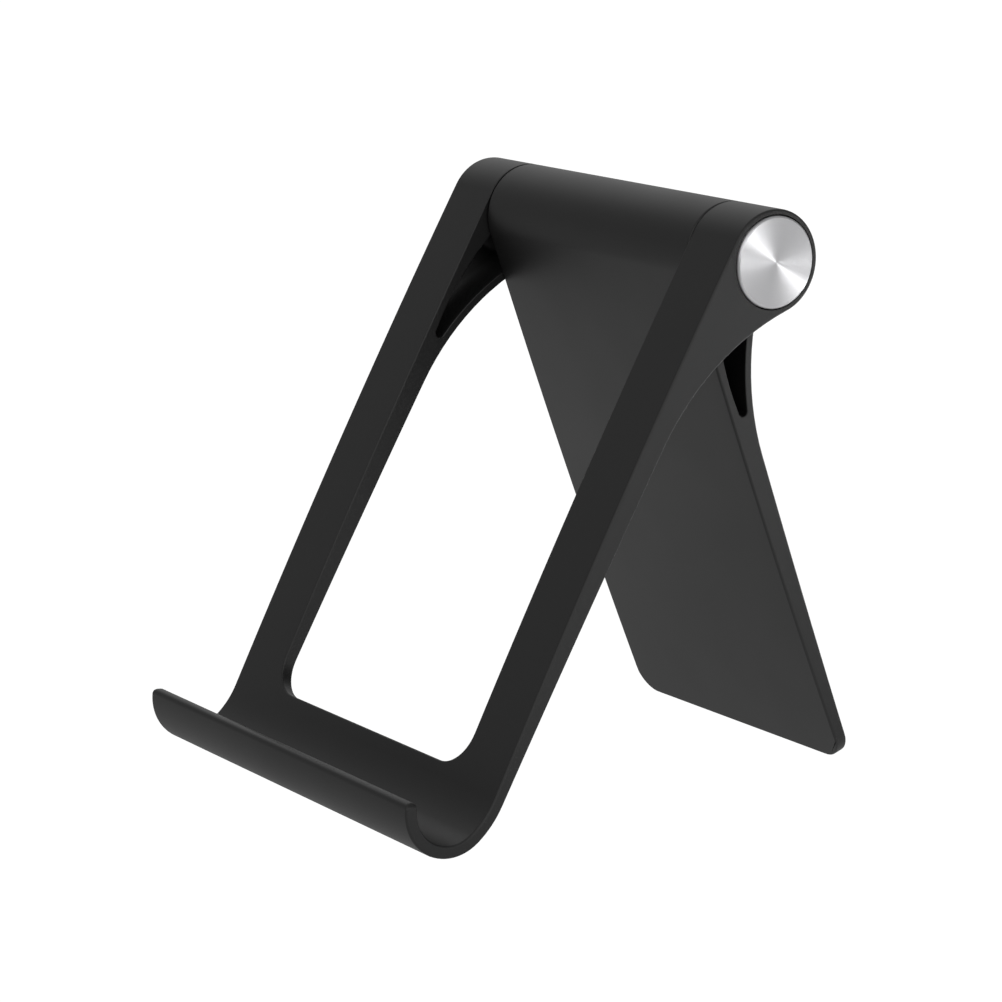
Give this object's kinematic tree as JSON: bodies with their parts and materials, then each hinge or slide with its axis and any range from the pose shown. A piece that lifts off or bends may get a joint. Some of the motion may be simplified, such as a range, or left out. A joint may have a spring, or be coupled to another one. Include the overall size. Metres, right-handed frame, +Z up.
{
  "type": "folding phone stand",
  "caption": "Desk stand for a phone: a leaning window frame with a J-shaped hook, a rear leg on a friction hinge, and metal end caps.",
  "frame": {"origin": "centre of the bounding box's bottom, on the table, with the stand open as it is used", "axes": "+Z up, +X along the hinge axis towards the bolt's head, -Y towards the user and the hook"},
  "size_m": [0.0808, 0.0946, 0.0952],
  "materials": {
    "frame_plastic": "fine matte, moulded",
    "leg_plastic": "fine matte, moulded",
    "spun_aluminium": "spun face with a bright turned chamfer",
    "zinc_steel": "zinc plated",
    "spring_steel": "dark phosphated",
    "acetal": "machined white acetal",
    "friction": "pressed friction compound",
    "silicone": "satin silicone",
    "foot_rubber": "matte rubber",
    "adhesive": "acrylic foam adhesive"
  },
  "bodies": {
    "frame": {"front_frame": "frame_plastic", "hook_foot_strip": "foot_rubber", "hook_pad": "silicone", "hinge_bolt": "zinc_steel", "hinge_lock_nut": "zinc_steel", "left_washer": "zinc_steel", "right_washer": "zinc_steel", "left_disc_spring": "spring_steel", "right_disc_spring": "spring_steel", "left_cap_adhesive": "adhesive", "right_cap_adhesive": "adhesive", "left_end_cap": "spun_aluminium", "right_end_cap": "spun_aluminium"},
    "leg": {"rear_leg": "leg_plastic", "leg_foot_strip": "foot_rubber", "spacer_tube": "zinc_steel", "left_bush": "acetal", "right_bush": "acetal", "left_friction_disc": "friction", "right_friction_disc": "friction"}
  },
  "joints": [
    {"name": "leg_fold", "type": "hinge", "parent": "frame", "child": "leg", "pos_m": [0, 0.01937, 0.08689], "axis": [1, 0, 0], "range_deg": [-49.9, 55]}
  ]
}
